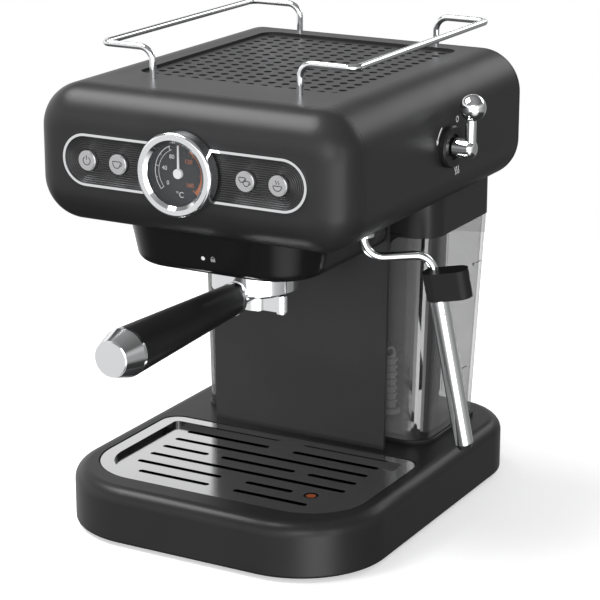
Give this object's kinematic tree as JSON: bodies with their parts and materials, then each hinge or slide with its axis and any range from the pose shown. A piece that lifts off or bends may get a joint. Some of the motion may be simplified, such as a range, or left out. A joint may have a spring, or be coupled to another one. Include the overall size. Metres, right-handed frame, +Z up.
{
  "type": "espresso machine",
  "caption": "Pump espresso machine with locking portafilter, steam wand, cup warmer with rails, temperature gauge, drip tray and rear water tank.",
  "frame": {"origin": "centre of the bounding box in plan, at table height", "axes": "+Z up, +Y to the rear of the machine, +X to its right seen from the front"},
  "size_m": [0.249, 0.351, 0.3171],
  "materials": {
    "base_shell": "satin black",
    "bottom_plate": "fine matt",
    "feet": "matt",
    "base_screws": "brushed",
    "tank_pad": "satin black",
    "drip_tray": "fine matt",
    "drip_grid": "brushed",
    "float": "red",
    "column_panel": "satin black",
    "column_back": "satin black",
    "collar": "satin black",
    "head_sleeve": "satin black paint",
    "front_cap": "satin black paint",
    "rear_cap": "satin black paint",
    "rear_screws": "brushed",
    "warmer_plate": "satin",
    "warmer_pan": "fine matt",
    "rail_left": "polished",
    "rail_right": "polished",
    "rail_nuts": "brushed",
    "fascia": "fine matt",
    "panel_trim": "polished",
    "gauge_barrel": "fine matt",
    "gauge_bezel": "polished",
    "gauge_dial": "satin",
    "gauge_glass": "clear",
    "gauge_needle": "satin",
    "button_power": "brushed",
    "button_single": "brushed",
    "button_double": "brushed",
    "button_steam": "brushed",
    "button_board": "printed board",
    "control_board": "printed board",
    "group_housing": "satin black",
    "group_head": "turned",
    "group_gasket": "matt",
    "shower_screen": "brushed",
    "boiler": "cast",
    "boiler_cap": "cast",
    "pump": "fine matt",
    "pump_mounts": "matt",
    "suction_hose": "matt",
    "pressure_hose": "natural",
    "steam_pipes": "drawn tube",
    "steam_valve": "turned",
    "escutcheon": "fine matt",
    "steam_knob": "polished",
    "wand_nut": "polished",
    "wand_tube": "polished",
    "wand_grip": "matt",
    "froth_sleeve": "polished",
    "pf_body": "polished",
    "pf_basket": "brushed",
    "pf_spout": "polished",
    "pf_rings": "polished",
    "pf_handle": "fine matt",
    "pf_cap": "polished",
    "tank": "smoky clear",
    "tank_hose": "matt",
    "cord_gland": "fine matt"
  },
  "bodies": {
    "machine": {"base_shell": "base_shell", "bottom_plate": "bottom_plate", "feet": "feet", "base_screws": "base_screws", "tank_pad": "tank_pad", "column_panel": "column_panel", "column_back": "column_back", "collar": "collar", "head_sleeve": "head_sleeve", "front_cap": "front_cap", "rear_cap": "rear_cap", "rear_screws": "rear_screws", "warmer_plate": "warmer_plate", "warmer_pan": "warmer_pan", "rail_left": "rail_left", "rail_right": "rail_right", "rail_nuts": "rail_nuts", "fascia": "fascia", "panel_trim": "panel_trim", "gauge_barrel": "gauge_barrel", "gauge_bezel": "gauge_bezel", "gauge_dial": "gauge_dial", "gauge_glass": "gauge_glass", "button_board": "button_board", "control_board": "control_board", "group_housing": "group_housing", "group_head": "group_head", "group_gasket": "group_gasket", "shower_screen": "shower_screen", "boiler": "boiler", "boiler_cap": "boiler_cap", "pump": "pump", "pump_mounts": "pump_mounts", "suction_hose": "suction_hose", "pressure_hose": "pressure_hose", "steam_pipes": "steam_pipes", "steam_valve": "steam_valve", "escutcheon": "escutcheon", "wand_nut": "wand_nut", "cord_gland": "cord_gland"},
    "drip_tray": {"drip_tray": "drip_tray"},
    "drip_grid": {"drip_grid": "drip_grid"},
    "float": {"float": "float"},
    "needle": {"gauge_needle": "gauge_needle"},
    "power_button": {"button_power": "button_power"},
    "single_button": {"button_single": "button_single"},
    "double_button": {"button_double": "button_double"},
    "steam_button": {"button_steam": "button_steam"},
    "steam_knob": {"steam_knob": "steam_knob"},
    "steam_wand": {"wand_tube": "wand_tube", "wand_grip": "wand_grip"},
    "froth_sleeve": {"froth_sleeve": "froth_sleeve"},
    "portafilter": {"pf_body": "pf_body", "pf_basket": "pf_basket", "pf_spout": "pf_spout", "pf_rings": "pf_rings", "pf_handle": "pf_handle", "pf_cap": "pf_cap"},
    "tank": {"tank": "tank", "tank_hose": "tank_hose"}
  },
  "joints": [
    {"name": "tray_lift", "type": "slide", "parent": "machine", "child": "drip_tray", "axis": [0, 0, 1], "range_m": [0, 0.06]},
    {"name": "grid_lift", "type": "slide", "parent": "drip_tray", "child": "drip_grid", "axis": [0, 0, 1], "range_m": [0, 0.04]},
    {"name": "float_rise", "type": "slide", "parent": "drip_tray", "child": "float", "axis": [0, 0, 1], "range_m": [0, 0.006]},
    {"name": "needle_turn", "type": "hinge", "parent": "machine", "child": "needle", "pos_m": [-0.01255, -0.0985, 0.25215], "axis": [0, -1, 0], "range_deg": [-125, 125], "stiffness_Nm_per_rad": 0.002},
    {"name": "power_press", "type": "slide", "parent": "machine", "child": "power_button", "axis": [0, 1, 0], "range_m": [0, 0.0025], "stiffness_N_per_m": 500, "springref_m": -0.001},
    {"name": "single_press", "type": "slide", "parent": "machine", "child": "single_button", "axis": [0, 1, 0], "range_m": [0, 0.0025], "stiffness_N_per_m": 500, "springref_m": -0.001},
    {"name": "double_press", "type": "slide", "parent": "machine", "child": "double_button", "axis": [0, 1, 0], "range_m": [0, 0.0025], "stiffness_N_per_m": 500, "springref_m": -0.001},
    {"name": "steam_press", "type": "slide", "parent": "machine", "child": "steam_button", "axis": [0, 1, 0], "range_m": [0, 0.0025], "stiffness_N_per_m": 500, "springref_m": -0.001},
    {"name": "knob_turn", "type": "hinge", "parent": "machine", "child": "steam_knob", "pos_m": [0.09945, 0.0425, 0.25335], "axis": [1, 0, 0], "range_deg": [0, 180]},
    {"name": "wand_swing", "type": "hinge", "parent": "machine", "child": "steam_wand", "pos_m": [0.06525, -0.0061, 0.205], "axis": [0, 0, 1], "range_deg": [-110, 0]},
    {"name": "sleeve_pull", "type": "slide", "parent": "steam_wand", "child": "froth_sleeve", "axis": [0.1426, 0.1188, -0.9826], "range_m": [0, 0.028]},
    {"name": "portafilter_lock", "type": "hinge", "parent": "machine", "child": "portafilter", "pos_m": [-0.01255, -0.006, 0.19], "axis": [0, 0, 1], "range_deg": [-45, 0]},
    {"name": "tank_slide", "type": "slide", "parent": "machine", "child": "tank", "axis": [0, 1, 0], "range_m": [0, 0.13]}
  ]
}
